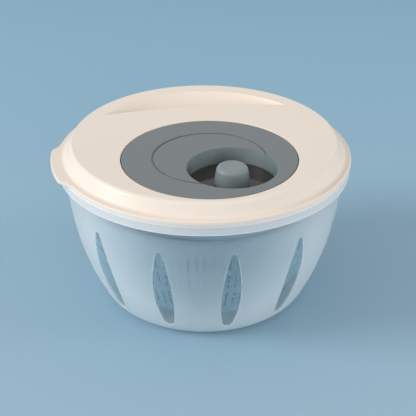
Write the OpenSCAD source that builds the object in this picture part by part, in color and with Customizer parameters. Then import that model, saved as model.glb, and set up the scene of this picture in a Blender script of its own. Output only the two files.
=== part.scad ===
// Salad spinner: bowl, basket, and a lid whose crank disc drives the basket through an
// off-centre internal gear. Millimetres, +Z up, origin on the table under the bowl's axis.

/* [Bowl] */
// Radius of the flat foot
foot_r = 73.3; // [66:0.1:78]
// Radius of the curve between the foot and the side
foot_curve_r = 19.5; // [14:0.1:24]
// Steepness of the side where it leaves the foot curve, in degrees
side_angle = 62; // [56:0.5:66]
// Height of the rim above the table
bowl_h = 128.4; // [120:0.1:140]
// Thickness of the bowl's wall and floor
bowl_wall = 2; // [1.6:0.1:2.4]
// How far the rim's turned-down skirt stands out of the wall
rim_out = 3.4; // [3:0.1:4.5]
// Height of the rim's skirt
rim_skirt_h = 8.9; // [7:0.1:12]
// Thickness of the rim and its skirt
rim_wall = 1.6; // [1.2:0.1:2.2]

/* [Windows] */
// Number of petal-shaped windows
window_count = 12; // [8:1:14]
// Widest width of a window
window_w = 14.5; // [10:0.5:18]
// Height of a window's lower end above the table
window_low_z = 13; // [11:0.5:18]
// Height of a window's widest place
window_mid_z = 50; // [44:0.5:56]
// Distance of a window's upper end below the bowl's rim
window_drop = 31.5; // [28:0.5:40]
// Radius of the lower end
window_low_r = 3.2; // [2:0.1:4.5]
// Radius of the upper end
window_high_r = 1; // [0.5:0.1:2]
// Depth that the window is sunk into the wall
window_depth = 0.8; // [0.4:0.1:1.1]
// Turn of the first window about the bowl's axis
window_turn = 4; // [0:0.5:30]

/* [Basket] */
// How far the basket's floor ends inside the bowl's foot
basket_foot_inset = 6.8; // [5:0.1:12]
// Space under the basket for the water
drain_h = 12; // [10:0.5:16]
// Radius of the curve between the basket's floor and side
basket_curve_r = 18; // [14:0.5:22]
// Thickness of the basket's wall
basket_wall = 1.8; // [1.4:0.1:2.2]
// Width of the basket's rim band
basket_rim_w = 4; // [3:0.1:4.5]
// Height of the basket's rim band
basket_rim_h = 4; // [3:0.5:6]
// Gap between the basket's rim band and the bowl
basket_gap = 4; // [3:0.1:6]
// Number of slots in each tier
slot_count = 96; // [36:6:102]
// Width of a slot
slot_w = 2.8; // [2:0.1:3.2]
// Distance of the lowest slot end above the basket's underside
slot_rise = 17; // [15:0.5:22]
// Distance of the highest slot end below the basket's rim
slot_drop = 14.5; // [12:0.5:20]
// Number of tiers of slots
tier_count = 3; // [2:1:4]
// Height of the plain band between two tiers
tier_gap = 5.5; // [4:0.5:8]
// Number of radial slots in the floor
floor_slot_count = 36; // [12:6:42]
// Radius at which the floor's slots begin
floor_slot_r = 30; // [24:1:40]
// Radius of the pivot pip in the bowl's floor
pip_r = 4; // [3:0.1:5]
// How far the pip reaches into the basket's pivot cup
pip_reach = 3; // [2:0.5:5]

/* [Lid] */
// Outer radius of the lid's flange
flange_r = 125; // [118:0.5:132]
// Thickness of the flange
flange_t = 3.4; // [2.8:0.1:4]
// How far the flange stands out over the bowl's rim
flange_lap = 0.7; // [0.2:0.1:1.5]
// Width of the flange outside the sloping shoulder
flange_land = 5.4; // [4.8:0.1:6.5]
// Height of the lid's top above its flange, on the lid's axis
crown_h = 12.9; // [12:0.1:13.6]
// Steepness of the shoulder, in degrees
shoulder_angle = 62; // [58:0.5:68]
// Rounding of the shoulder's upper edge
shoulder_round = 5; // [3:0.5:6]
// Lean of the top towards the knob's side, in degrees
top_lean = 1.2; // [0:0.1:1.4]
// Fall of the dished top towards the crank disc, in degrees
dish_angle = 2.6; // [2:0.1:3]
// How far the dish cuts below the start of the shoulder's rounding, on the knob's side
dish_bite = 0.15; // [0.1:0.05:0.4]
// Thickness of the lid's wall
lid_wall = 2; // [1.6:0.1:2.4]
// Depth of the skirt that centres the lid in the bowl
lid_skirt_h = 7.5; // [5:0.5:9]
// Thickness of the skirt
skirt_wall = 1.6; // [1.2:0.1:2]
// Gap between the skirt and the bowl's wall
skirt_gap = 1; // [0.5:0.1:2]
// How far the lifting tab stands out of the flange
tab_out = 5.6; // [4:0.1:8]
// Half of the angle that the tab's plateau covers
tab_half_angle = 11; // [8:0.5:14]
// Place of the tab around the lid, in degrees
tab_turn = 184; // [170:1:190]
// Rounding of the tab's nose and of its blend into the flange
tab_nose_r = 10; // [6:1:12]
tab_blend_r = 18; // [12:1:24]

/* [Grip recess] */
// Width of the lid's top between the disc's opening and the recess
grip_land = 27.8; // [25:0.1:34]
// Radius of the front edge's bow
grip_front_r = 350; // [300:5:400]
// Distance of the recess's back edge from the shoulder's foot
grip_back_inset = 14.6; // [12:0.1:18]
// Radius of the recess's hollow
grip_hollow_r = 25.4; // [23:0.1:28]
// Distance of the hollow's deepest line from the back edge
grip_deep_inset = 24.8; // [22:0.1:28]
// Depth of the hollow below the lid's top
grip_depth = 12.8; // [10:0.1:13]
// Rounding of the back edge
grip_edge_round = 5; // [3:0.5:6]
// Rounding of the two tips
grip_tip_r = 3; // [2:0.5:4]

/* [Crank disc] */
// Flat left between the disc's opening and the shoulder's rounding, on the knob's side
front_land = 3; // [1.5:0.1:5]
// Gap between the disc and the lid
disc_gap = 0.6; // [0.4:0.1:1]
// How far the disc's face lies under the lid's edge around it
disc_sink = 0.2; // [0:0.1:1]
// Thickness of the disc's face and walls
disc_t = 2.2; // [1.8:0.1:2.6]
// Rounding of the disc's edge and of the opening around it
disc_edge_r = 0.7; // [0.3:0.1:1.2]
// Distance of the groove from the disc's edge
groove_inset = 26; // [22:0.1:30]
// Width of the groove
groove_w = 2.6; // [1.6:0.1:3]
// Depth of the groove
groove_d = 1; // [0.6:0.1:1.2]

/* [Finger well and knob] */
// Radius of the well's mouth
well_r = 37; // [33:0.1:38]
// Distance of the well's mouth from the disc's edge
well_margin = 10.1; // [8:0.1:14]
// Place of the well around the disc, in degrees
well_turn = -53; // [-60:0.5:-50]
// Depth of the well
well_depth = 14; // [13:0.1:14.5]
// Draft of the well's wall, in degrees
well_draft = 2; // [1:0.5:3]
// Rounding of the well's mouth
well_edge_r = 1; // [0.4:0.1:1.5]
// Radius of the knob's base, without its fillet
knob_base_r = 14.9; // [14:0.1:16]
// Radius of the knob's top before it is rounded
knob_top_r = 12.4; // [11:0.1:14]
// Height of the knob
knob_h = 15.3; // [13:0.1:17]
// Rounding of the knob's top
knob_round = 3; // [2:0.1:4]
// Fillet between the knob and the turntable
knob_foot_round = 0.8; // [0.4:0.1:1.6]
// Thickness of the knob's wall
knob_wall = 1.8; // [1.4:0.1:2.4]
// Radius of the cap in the knob's top
cap_r = 8; // [6:0.1:9]
// Thickness of the cap
cap_t = 1.3; // [1:0.1:1.6]
// Thickness of the turntable
turntable_t = 1.6; // [1.4:0.1:2]
// Radius of the turntable's spindle
spindle_r = 3; // [2.5:0.1:4]

/* [Gears] */
// Distance of the ring gear's pitch circle from the disc's edge
ring_inset = 23.6; // [22.5:0.1:24.5]
// Teeth of the drive pinion
pinion_teeth = 23; // [22:1:26]
// Turns of the basket for each turn of the crank
gear_ratio = 3; // [3, 4]
// Pressure angle of the teeth, in degrees
pressure_angle = 20; // [18:1:24]
// Play between the flanks of two teeth
backlash = 0.4; // [0.3:0.05:0.5]
// Height of the teeth along the axis
gear_h = 5.8; // [5:0.1:6]
// Radius of the pinion's shaft
shaft_r = 5; // [4.5:0.1:5.5]
// Distance of the ring gear's screws from its outer edge
ring_screw_inset = 8.8; // [7:0.1:9.5]
// Number of screws in the ring gear
ring_screw_count = 6; // [3:1:6]

/* [Gear tray and driver] */
// Thickness of the tray's walls and floor
tray_t = 2.4; // [2:0.1:2.8]
// Distance of the outer screws from the tray's edge
tray_screw_inset = 9; // [8:0.5:11]
// Thickness of the driver plate
driver_t = 1.8; // [1.6:0.1:2.4]
// Height of the ribs under the driver plate
driver_rib_h = 4; // [3:0.5:6]
// Number of drive lugs
lug_count = 6; // [3:1:8]
// Width of a drive lug
lug_w = 8; // [6:0.5:10]
// Thickness of a drive lug
lug_t = 3; // [2:0.1:4]
// Length of a drive lug below the plate
lug_h = 9; // [7:0.5:10]
// Thickness of the basket's ribs beside a lug
dog_t = 2; // [1.5:0.1:3]

/* [Screws] */
// Radius of a screw's shank
screw_r = 1.5; // [1.2:0.1:1.6]
// Length of a screw's shank inside the piece that it bites into
screw_bite = 8; // [6:0.5:8.5]
// Radius of a screw's head
screw_head_r = 2.9; // [2.6:0.1:3.2]
// Height of a screw's head
screw_head_h = 1.8; // [1.4:0.1:2]
// Wall of a boss around its screw
boss_wall = 2.1; // [1.8:0.1:2.6]

/* [Hidden] */
$fn = 96;

// Clearances: between moving pieces, in a running fit, around a seated piece, beside a lug
gap = 0.3;
running = 0.05;
seat = 0.1;
lug_play = 0.8;
// How much narrower a pilot hole is than its screw, and how much deeper
thread_grip = 0.2;
pilot_spare = 1;
// How far a cutting shape runs past what it cuts
over = 1;
// How far two pieces of an outline that are tangent reach into each other
tuck = 0.01;
// How many times longer a vessel's upper tangent is than its lower one
bowl_flare = 2;
basket_flare = 1.12;

// Outline of a bowl or basket: a foot curve, a long arc and a straight top, all tangent.
// It is [foot radius, underside, foot curve, arc radius, top angle, arc centre], and the
// straight top's tangent is ratio times as long as the arc's own lower one.
function vessel(foot, low_z, curve, top, ratio) =
    let (way = [cos(side_angle), sin(side_angle)],
         joint = [foot + curve * way[1], low_z + curve * (1 - way[0])],
         chord = top - joint,
         along = chord * way,
         share = ratio * ratio - 1,
         reach = (sqrt(along * along + share * chord * chord) - along) / share,
         upper = chord - reach * way,
         top_angle = atan2(upper[1], upper[0]),
         arc_r = reach / tan((top_angle - side_angle) / 2))
    [foot, low_z, curve, arc_r, top_angle, joint + arc_r * [-way[1], way[0]]];

// Where the foot curve ends and where the arc ends. Inset counts inwards from the outer face.
function joint_at(v, inset) =
    [v[0] + (v[2] - inset) * sin(side_angle), v[1] + v[2] - (v[2] - inset) * cos(side_angle)];
function side_end(v, inset) = v[5] + (v[3] - inset) * [sin(v[4]), -cos(v[4])];
function vessel_r(v, inset, z) =
    let (end = side_end(v, inset))
    z > end[1] ? end[0] + (z - end[1]) / tan(v[4])
               : v[5][0] + sqrt(pow(v[3] - inset, 2) - pow(v[5][1] - z, 2));

// The bowl
rim_r = flange_r - flange_lap;
bowl_shape = vessel(foot_r, 0, foot_curve_r, [rim_r - rim_out, bowl_h], bowl_flare);
window_high_z = bowl_h - window_drop;

// The lid's top
flange_z = bowl_h + gap;
flange_top_z = flange_z + flange_t;
crown_z = flange_top_z + crown_h;
shoulder_foot_r = flange_r - flange_land;
shoulder_corner_r = shoulder_foot_r - crown_h / tan(shoulder_angle);
shoulder_centre_r = shoulder_corner_r - shoulder_round * tan(shoulder_angle / 2);
shoulder_centre_z = crown_z - shoulder_round;
skirt_r = vessel_r(bowl_shape, bowl_wall, flange_z - lid_skirt_h) - skirt_gap;

// The disc's opening reaches from the shoulder's rounding to the far side of the gears' offset
offset_share = 1 - 1 / gear_ratio;
disc_r = (shoulder_centre_r - front_land - disc_gap + ring_inset * offset_share)
    / (1 + offset_share);
ring_pitch_r = disc_r - ring_inset;
ring_teeth = pinion_teeth * gear_ratio;
gear_module = 2 * ring_pitch_r / ring_teeth;
pinion_pitch_r = ring_pitch_r / gear_ratio;
disc_y = pinion_pitch_r - ring_pitch_r;
hole_r = disc_r + disc_gap;
dish_start_r = shoulder_centre_r + disc_y;
dish_start_z = crown_z - shoulder_centre_r * tan(top_lean) - dish_bite;
dish_edge_z = dish_start_z - (dish_start_r - hole_r) * tan(dish_angle);
dish_far_r = 2 * flange_r;
collar_r = hole_r + 2 * disc_gap;
groove_r = disc_r - groove_inset;
disc_z = dish_edge_z - disc_sink;

// The grip recess
grip_front_y = disc_y + hole_r + grip_land;
grip_back_r = shoulder_foot_r - grip_back_inset;
grip_deep_r = grip_back_r - grip_deep_inset;
grip_top_z = crown_z + grip_back_r * tan(top_lean);
grip_low_z = grip_top_z - grip_depth;
grip_centre_z = grip_low_z + grip_hollow_r;
grip_front_centre_y = grip_front_y - grip_front_r;
grip_tip_y = (pow(grip_front_r + grip_tip_r, 2) - pow(grip_back_r - grip_tip_r, 2)
              - pow(grip_front_centre_y, 2)) / (-2 * grip_front_centre_y);
grip_tip_x = sqrt(pow(grip_back_r - grip_tip_r, 2) - pow(grip_tip_y, 2));
grip_edge_z = grip_top_z - grip_edge_round;
grip_edge_r = grip_deep_r
    + sqrt(pow(grip_hollow_r + grip_edge_round, 2) - pow(grip_centre_z - grip_edge_z, 2));

// The stack below the finger well
well_offset = disc_r - well_margin - well_r;
well_x = well_offset * cos(well_turn);
well_y = disc_y + well_offset * sin(well_turn);
well_floor_z = disc_z - well_depth;
cup_floor_z = well_floor_z - turntable_t - gap;
cup_floor_t = 1.6;
hub_h = 1.2;
hub_low_z = cup_floor_z - cup_floor_t - hub_h;
spindle_low_z = hub_low_z - gap;
spigot_r = 2 * spindle_r;
washer_t = 0.6;
knob_washer_z = spindle_low_z - washer_t;
knob_screw_z = knob_washer_z - screw_head_h;
knob_taper = atan((knob_base_r - knob_top_r) / knob_h);
cap_sink = 0.15;
cap_dish = 0.35;
cap_dish_r = 90;
gear_clear = 1;
gear_top_z = knob_screw_z - gear_clear;
gear_low_z = gear_top_z - gear_h;
glide_top_z = gear_low_z - gap;
bush_flange_t = 0.8;
tray_floor_z = glide_top_z - washer_t - bush_flange_t;
tray_boss_h = 2.2;
tray_boss_z = tray_floor_z - tray_t - tray_boss_h;
driver_top_z = tray_boss_z - gap;
driver_low_z = driver_top_z - driver_t;
driver_hub_h = 7;
driver_hub_z = driver_low_z - driver_hub_h;
shaft_low_z = driver_hub_z + washer_t + bush_flange_t + washer_t;

// The disc's keeper ring turns under the lid's collar
tray_drop = 2;
tray_top_z = flange_z - tray_drop;
tray_r = skirt_r - skirt_wall - gap;
pocket_r = collar_r + lid_wall + gap;
collar_low_z = tray_top_z - 2 * gap;
keeper_top_z = collar_low_z - gap;
keeper_t = 2;
ring_rim_r = disc_r - disc_t - seat;
ring_screw_r = ring_rim_r - ring_screw_inset;
ring_web_t = 1.8;
gear_wall = 3.6;
dedendum = 1.25;
glide_w = 4;
rib_t = 2;
tray_rib_count = 6;
bush_wall = 2;
bush_lip = 2.6;
bush_r = shaft_r + running + bush_wall;
hub_wall = 3;
hex_r = shaft_r - 0.4;
boss_r = screw_r + boss_wall;

// The basket hangs between the bowl's floor and the driver plate
basket_low_z = bowl_wall + drain_h;
basket_top_z = driver_low_z - 3 * gap;
basket_top_r = vessel_r(bowl_shape, bowl_wall, basket_top_z) - basket_gap - basket_rim_w
    + basket_wall;
basket_shape = vessel(foot_r - basket_foot_inset, basket_low_z, basket_curve_r,
                      [basket_top_r, basket_top_z], basket_flare);
pip_top_z = basket_low_z + pip_reach;
cup_wall = 2.5;
cup_drop = 2;
driver_r = basket_top_r + 1;
driver_band = 20;
spoke_w = 10;
spoke_root = 14;
lug_out_r = vessel_r(basket_shape, basket_wall, basket_top_z - lug_h) - lug_play;

// Screws that hold the tray: turns of the outer ones about the lid's axis, and of the two
// behind the disc about the disc's axis
outer_screw_r = tray_r - tray_screw_inset;
outer_screw_turns = [-35, 10, 170, 215];
inner_screw_r = pocket_r + tray_t + boss_r + tray_screw_inset;
inner_screw_turns = [74, 106];

// Half of a tooth's angle at a radius, for teeth whose flanks are involutes
function involute(angle) = tan(angle) * 180 / PI - angle;
function tooth_half(teeth, r, play) =
    let (pitch_r = gear_module * teeth / 2, base_r = pitch_r * cos(pressure_angle))
    90 / teeth + play / pitch_r * 90 / PI + involute(pressure_angle)
    - involute(acos(min(1, base_r / max(r, base_r))));
function tooth_points(teeth, low_r, high_r, play, steps = 4) =
    [for (i = [0 : teeth - 1], side = [-1, 1], k = [0 : steps])
        let (step = side < 0 ? k : steps - k,
             r = low_r + (high_r - low_r) * step / steps,
             angle = 90 + 360 * i / teeth + side * tooth_half(teeth, r, play))
        [r * cos(angle), r * sin(angle)]];

module tube(inner_r, outer_r, low_z, high_z) {
    translate([0, 0, low_z]) difference() {
        cylinder(r = outer_r, h = high_z - low_z);
        translate([0, 0, -over]) cylinder(r = inner_r, h = high_z - low_z + 2 * over);
    }
}

module rod(r, low_z, high_z) {
    translate([0, 0, low_z]) cylinder(r = r, h = high_z - low_z);
}

module at_disc() {
    translate([0, disc_y, 0]) children();
}

module at_well() {
    translate([well_x, well_y, 0]) children();
}

module around(count, start = 0) {
    for (i = [0 : count - 1]) rotate([0, 0, start + 360 * i / count]) children();
}

// A screw that points up: its head hangs under seat_z and its shank ends at tip_z
module screw(seat_z, tip_z) {
    rod(screw_head_r, seat_z - screw_head_h, seat_z);
    rod(screw_r, seat_z, tip_z);
}

// Solid half-section of a bowl-like vessel. Its tangent pieces are tucked into each other, so
// that no corner of one lies on the other's edge.
module vessel_section(v, inset, high_z) {
    foot = v[0];
    low_z = v[1];
    mid_z = joint_at(v, inset)[1];
    end_z = side_end(v, inset)[1];
    start = side_end(v, inset + 2 * tuck);
    translate([0, low_z + inset]) square([foot, mid_z - low_z - inset + over]);
    intersection() {
        translate([foot, low_z + v[2]]) circle(r = v[2] - inset);
        translate([foot - over, low_z - over]) square([v[2] + 2 * over, mid_z - low_z + 2 * over]);
    }
    intersection() {
        translate(v[5]) circle(r = v[3] - inset - tuck);
        translate([0, mid_z]) square([2 * flange_r, end_z - mid_z + 4 * over]);
    }
    polygon([[0, end_z - over], [foot, end_z - over], start,
             [vessel_r(v, inset, high_z), high_z], [0, high_z]]);
}

// The sliver between a round and the corner that it rounds, run past both faces. It is cut
// from an outer edge or added in an inner one. The round touches the faces at two angles.
module corner_section(centre, r, low_angle, high_angle) {
    function at(reach, angle) = centre + reach * [cos(angle), sin(angle)];
    middle = (low_angle + high_angle) / 2;
    difference() {
        polygon([at(r, low_angle), at(r + over, low_angle),
                 at((r + over) / cos(high_angle - middle), middle),
                 at(r + over, high_angle), at(r, high_angle)]);
        translate(centre) circle(r = r + tuck);
    }
}

// The rim turns out from the wall and hangs down as a skirt
module rim_section() {
    low_z = bowl_h - rim_skirt_h;
    wall_r = vessel_r(bowl_shape, 0, low_z);
    difference() {
        union() {
            translate([wall_r - rim_wall / 2, low_z])
                square([rim_r - wall_r + rim_wall / 2, rim_skirt_h - rim_wall]);
            translate([wall_r - rim_wall / 2, low_z])
                square([rim_r - wall_r - rim_wall / 2, rim_skirt_h]);
            translate([rim_r - rim_wall, bowl_h - rim_wall]) circle(r = rim_wall);
        }
        translate([wall_r - rim_wall, low_z - over])
            square([rim_r - wall_r, rim_skirt_h - rim_wall + over]);
    }
}

// Radius of an arc that runs from a round end to the petal's widest place
function petal_arc_r(reach, end_r) =
    (pow(reach - end_r, 2) + pow(window_w / 2, 2) - pow(end_r, 2)) / (window_w - 2 * end_r);

// Half of a petal, widest at the origin, from start up to its round end. Inset narrows it.
module half_petal(reach, end_r, start, inset) {
    arc_r = petal_arc_r(reach, end_r);
    arc_x = arc_r - window_w / 2 + inset;
    end_y = reach - end_r;
    cut_y = arc_r * end_y / (arc_r - end_r);
    intersection() {
        translate([-arc_x, 0]) circle(r = arc_r);
        translate([arc_x, 0]) circle(r = arc_r);
        translate([-window_w, start]) square([2 * window_w, cut_y - start]);
    }
    translate([0, end_y]) circle(r = end_r + tuck);
}

module petal() {
    translate([0, window_mid_z]) {
        half_petal(window_high_z - window_mid_z, window_high_r, 0, 0);
        mirror([0, 1]) half_petal(window_mid_z - window_low_z, window_low_r, -over, tuck);
    }
}

// The windows are sunk to an even depth under the wall's outer face
module bowl_windows() {
    difference() {
        around(window_count, window_turn) rotate([90, 0, 90]) translate([0, 0, foot_r])
            linear_extrude(height = flange_r - foot_r) petal();
        rotate_extrude() vessel_section(bowl_shape, window_depth, bowl_h);
    }
}

module bowl() color([0.78, 0.86, 0.91, 0.55]) difference() {
    union() {
        rotate_extrude() difference() {
            union() {
                vessel_section(bowl_shape, 0, bowl_h);
                rim_section();
            }
            vessel_section(bowl_shape, bowl_wall, bowl_h + over);
        }
        rod(pip_r, bowl_wall / 2, pip_top_z);
        translate([0, 0, bowl_wall]) cylinder(r1 = 2 * pip_r, r2 = pip_r, h = pip_r);
    }
    bowl_windows();
}

// Upright slots in tiers around the side, and radial slots in the floor
module basket_slots() {
    foot = basket_shape[0];
    slots_h = basket_top_z - slot_drop - basket_low_z - slot_rise;
    tier_h = (slots_h + tier_gap) / tier_count - tier_gap;
    around(slot_count) for (i = [0 : tier_count - 1])
        translate([foot, -slot_w / 2, basket_low_z + slot_rise + i * (tier_h + tier_gap)])
            cube([flange_r - foot, slot_w, tier_h]);
    around(floor_slot_count) translate([floor_slot_r, -slot_w / 2, basket_low_z - over])
        cube([foot - floor_slot_r - slot_w, slot_w, basket_wall + 2 * over]);
}

// Pairs of upright ribs in the rim, with a drive lug between them
module basket_dogs() {
    side = lug_w / 2 + lug_play;
    intersection() {
        around(lug_count) for (y = [-side - dog_t, side])
            translate([lug_out_r - lug_t, y, basket_top_z - lug_h - over])
                cube([flange_r - lug_out_r, dog_t, lug_h]);
        rotate_extrude() vessel_section(basket_shape, basket_wall / 2, basket_top_z);
    }
}

module basket() color([0.86, 0.90, 0.93, 0.8]) difference() {
    union() {
        rotate_extrude() difference() {
            union() {
                vessel_section(basket_shape, 0, basket_top_z);
                translate([basket_top_r - basket_wall, basket_top_z - basket_rim_h])
                    square([basket_rim_w, basket_rim_h]);
            }
            vessel_section(basket_shape, basket_wall, basket_top_z + over);
        }
        rod(pip_r + cup_wall, basket_low_z - cup_drop, pip_top_z + gap + basket_wall);
        basket_dogs();
    }
    basket_slots();
    rod(pip_r + running, basket_low_z - cup_drop - over, pip_top_z + gap);
}

// The lid's dome leans a little towards the knob's side
module lean() {
    translate([0, 0, flange_top_z]) rotate([top_lean, 0, 0]) translate([0, 0, -flange_top_z])
        children();
}

module dome(inset, low_z) {
    round_r = shoulder_round - inset;
    slope_r = shoulder_centre_r + round_r * sin(shoulder_angle);
    slope_z = shoulder_centre_z + round_r * cos(shoulder_angle);
    lean() rotate_extrude() {
        translate([0, low_z]) square([shoulder_centre_r, crown_z - inset - low_z]);
        polygon([[shoulder_centre_r - over, low_z],
                 [slope_r + (slope_z - low_z) / tan(shoulder_angle), low_z],
                 [slope_r, slope_z], [shoulder_centre_r, shoulder_centre_z],
                 [shoulder_centre_r - over, shoulder_centre_z]]);
        translate([shoulder_centre_r, shoulder_centre_z]) circle(r = round_r);
    }
}

// Everything below the dished top, lowered by drop
module under_dish(drop) {
    low_z = tray_floor_z;
    at_disc() rotate_extrude() polygon([
        [0, low_z], [dish_far_r, low_z],
        [dish_far_r, dish_edge_z - drop + (dish_far_r - hole_r) * tan(dish_angle)],
        [hole_r, dish_edge_z - drop], [0, dish_edge_z - drop]]);
}

// Outline of the grip recess from above, grown by grow
module grip_outline(grow) {
    back_r = grip_back_r + grow;
    front_r = grip_front_r - grow;
    tip_r = grip_tip_r + grow;
    back_share = back_r / (back_r - tip_r);
    front_share = front_r / (front_r + tip_r);
    front_x = grip_tip_x * front_share;
    front_y = grip_front_centre_y + (grip_tip_y - grip_front_centre_y) * front_share;
    intersection() {
        difference() {
            circle(r = back_r);
            translate([0, grip_front_centre_y]) circle(r = front_r);
        }
        polygon([[-front_x, front_y], [front_x, front_y],
                 [grip_tip_x * back_share, grip_tip_y * back_share], [0, 2 * back_r],
                 [-grip_tip_x * back_share, grip_tip_y * back_share]]);
    }
    for (side = [-1, 1]) translate([side * grip_tip_x, grip_tip_y]) circle(r = tip_r);
}

// Hollow of the grip recess: a round trough whose back edge is rolled over
module grip_hollow(grow) {
    intersection() {
        translate([0, 0, grip_low_z - 2 * lid_wall])
            linear_extrude(height = grip_depth + 4 * lid_wall) grip_outline(grow);
        rotate_extrude() {
            intersection() {
                translate([grip_deep_r, grip_centre_z]) circle(r = grip_hollow_r + grow);
                translate([0, grip_low_z - 2 * lid_wall]) square([flange_r, 2 * grip_hollow_r]);
            }
            difference() {
                polygon([[grip_deep_r, grip_centre_z], [grip_edge_r, grip_edge_z],
                         [grip_edge_r, grip_centre_z]]);
                translate([grip_edge_r, grip_edge_z]) circle(r = grip_edge_round - grow);
            }
        }
    }
}

// Outline of the lifting tab: a plateau that blends into the flange on both sides
module tab_outline() {
    nose_at = flange_r + tab_out - tab_nose_r;
    blend_at = flange_r + tab_blend_r;
    spread = acos((pow(nose_at, 2) + pow(blend_at, 2) - pow(tab_nose_r + tab_blend_r, 2))
                  / (2 * nose_at * blend_at));
    intersection() {
        circle(r = flange_r + tab_out);
        polygon([[0, 0], [2 * flange_r, -2 * flange_r * tan(tab_half_angle)],
                 [2 * flange_r, 2 * flange_r * tan(tab_half_angle)]]);
    }
    for (side = [-1, 1]) mirror([0, side < 0 ? 1 : 0]) {
        nose = nose_at * [cos(tab_half_angle), sin(tab_half_angle)];
        blend = blend_at * [cos(tab_half_angle + spread), sin(tab_half_angle + spread)];
        translate(nose) circle(r = tab_nose_r);
        difference() {
            polygon([[0, 0], nose, blend]);
            translate(blend) circle(r = tab_blend_r);
        }
    }
}

// A flat ring from the skirt to outer_r, with its upper outer edge rounded
module flange_ring(outer_r) {
    round_r = flange_t / 3;
    rotate_extrude() {
        translate([skirt_r - skirt_wall, flange_z])
            square([outer_r - round_r - skirt_r + skirt_wall, flange_t]);
        translate([outer_r - 2 * round_r, flange_z]) square([2 * round_r, flange_t - round_r]);
        translate([outer_r - round_r, flange_top_z - round_r]) circle(r = round_r);
    }
}

module lid_flange() {
    flange_ring(flange_r);
    tube(skirt_r - skirt_wall, skirt_r, flange_z - lid_skirt_h, flange_z + over);
    intersection() {
        flange_ring(flange_r + tab_out);
        translate([0, 0, flange_z - over]) linear_extrude(height = flange_t + 2 * over)
            rotate([0, 0, tab_turn]) tab_outline();
    }
}

// The places of the tray's screws
module at_tray_screws() {
    for (turn = outer_screw_turns) rotate([0, 0, turn]) translate([outer_screw_r, 0, 0])
        children();
    at_disc() for (turn = inner_screw_turns) rotate([0, 0, turn])
        translate([inner_screw_r, 0, 0]) children();
}

// Rounding of the lid's edge around the disc, cut from above
module hole_edge_section() {
    drop = disc_edge_r / cos(dish_angle) - disc_edge_r * tan(dish_angle);
    corner_section([hole_r + disc_edge_r, dish_edge_z - drop], disc_edge_r,
                   90 + dish_angle, 180);
}

module lid_shell() color([0.93, 0.89, 0.83]) difference() {
    union() {
        difference() {
            intersection() {
                dome(0, flange_z - 2 * flange_t);
                under_dish(0);
                rod(flange_r, flange_z, grip_top_z + over);
            }
            difference() {
                intersection() {
                    dome(lid_wall, flange_z - 2 * flange_t);
                    under_dish(lid_wall);
                }
                at_disc() tube(collar_r, collar_r + lid_wall, tray_floor_z, crown_z);
                at_tray_screws() rod(boss_r, tray_floor_z, crown_z);
                grip_hollow(lid_wall);
            }
        }
        lid_flange();
        at_disc() tube(collar_r, collar_r + lid_wall, collar_low_z, flange_top_z);
        at_tray_screws() rod(boss_r, tray_top_z, flange_top_z);
    }
    at_disc() rod(hole_r, flange_z, crown_z);
    at_disc() rotate_extrude() hole_edge_section();
    grip_hollow(0);
    at_tray_screws() rod(screw_r - thread_grip, tray_top_z - over,
                         tray_top_z + screw_bite + pilot_spare);
}

// A flat plate with a pocket that hangs from it around the disc's gears
module gear_tray() color([0.90, 0.88, 0.84]) difference() {
    union() {
        difference() {
            rod(tray_r, tray_top_z - tray_t, tray_top_z);
            at_disc() rod(pocket_r, tray_floor_z, tray_top_z + over);
        }
        at_disc() tube(pocket_r, pocket_r + tray_t, tray_floor_z - tray_t, tray_top_z - tray_t / 2);
        at_disc() rod(pocket_r + tray_t, tray_floor_z - tray_t, tray_floor_z);
        rod(bush_r + hub_wall, tray_boss_z, tray_floor_z);
        intersection() {
            around(tray_rib_count) translate([bush_r, -rib_t / 2, tray_boss_z + gap])
                cube([2 * pocket_r, rib_t, tray_boss_h]);
            at_disc() rod(pocket_r + tray_t, tray_boss_z, tray_floor_z);
        }
    }
    rod(bush_r, tray_boss_z - over, tray_floor_z + over);
    at_tray_screws() rod(screw_r + seat, tray_floor_z, tray_top_z + over);
}

module tray_screws() color([0.75, 0.76, 0.78])
    at_tray_screws() screw(tray_top_z - tray_t, tray_top_z + screw_bite);

module glide_ring() color([0.95, 0.95, 0.93])
    at_disc() tube(ring_rim_r - glide_w, ring_rim_r, tray_floor_z, glide_top_z);

module shaft_bush() color([0.93, 0.90, 0.80]) difference() {
    union() {
        rod(bush_r, tray_boss_z, tray_floor_z);
        rod(bush_r + bush_lip, tray_floor_z, tray_floor_z + bush_flange_t);
    }
    rod(shaft_r + running, tray_boss_z - over, tray_floor_z + bush_flange_t + over);
}

module thrust_washer() color([0.80, 0.80, 0.78])
    tube(shaft_r + seat, bush_r + bush_wall, tray_floor_z + bush_flange_t, glide_top_z);

// Half-section of the disc: face with a rounded edge, skirt, and the keeper ring that turns
// under the lid's collar
module disc_section() {
    skirt_low_z = gear_top_z - ring_web_t - gear_clear;
    translate([0, disc_z - disc_t]) square([disc_r - disc_edge_r, disc_t]);
    translate([disc_r - disc_t, skirt_low_z])
        square([disc_t, disc_z - disc_edge_r - skirt_low_z]);
    translate([disc_r - disc_edge_r, disc_z - disc_edge_r]) circle(r = disc_edge_r);
    translate([disc_r - disc_t / 2, keeper_top_z - keeper_t])
        square([collar_r + lid_wall - gap - disc_r + disc_t / 2, keeper_t]);
}

module well_cone(grow, low_z, high_z) {
    translate([0, 0, low_z])
        cylinder(r1 = well_r + grow - (disc_z - low_z) * tan(well_draft),
                 r2 = well_r + grow - (disc_z - high_z) * tan(well_draft), h = high_z - low_z);
}

// Rounding of the well's mouth, cut from above
module well_edge_section() {
    centre_r = well_r - well_edge_r * tan(well_draft) + well_edge_r / cos(well_draft);
    corner_section([centre_r, disc_z - well_edge_r], well_edge_r, 90, 180 - well_draft);
}

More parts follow.
